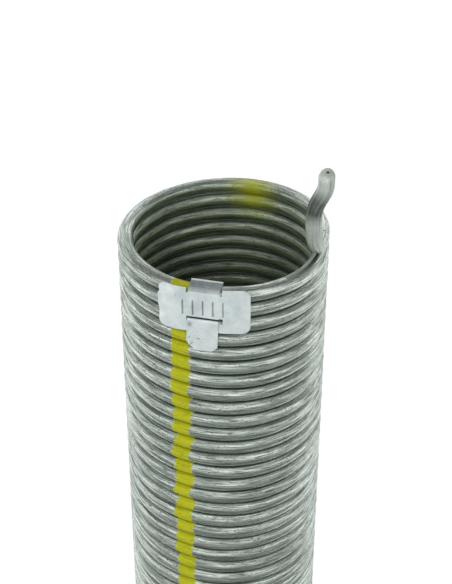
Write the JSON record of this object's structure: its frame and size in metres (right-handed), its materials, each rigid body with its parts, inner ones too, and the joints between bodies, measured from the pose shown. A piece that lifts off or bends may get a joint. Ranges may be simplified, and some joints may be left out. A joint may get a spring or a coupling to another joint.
{
  "type": "garage door torsion spring",
  "caption": "Close-wound left-hand torsion spring with an upturned sheared tang and a folded sheet tag threaded between its upper turns.",
  "frame": {"origin": "on the coil's axis, at the level of its lowest point, which is the bottom of the lower cut end of the wire", "axes": "+Z along the coil's axis towards the tang; +X towards the right of the tang, -Y towards the middle of the tag's side"},
  "size_m": [0.0788, 0.0801, 0.6142],
  "materials": {
    "galvanised_wire": "dull zinc coating with drawing streaks",
    "zinc_sheet": "satin zinc plating"
  },
  "bodies": {
    "root": {"spring_wire": "galvanised_wire", "size_tag": "zinc_sheet"}
  },
  "joints": []
}
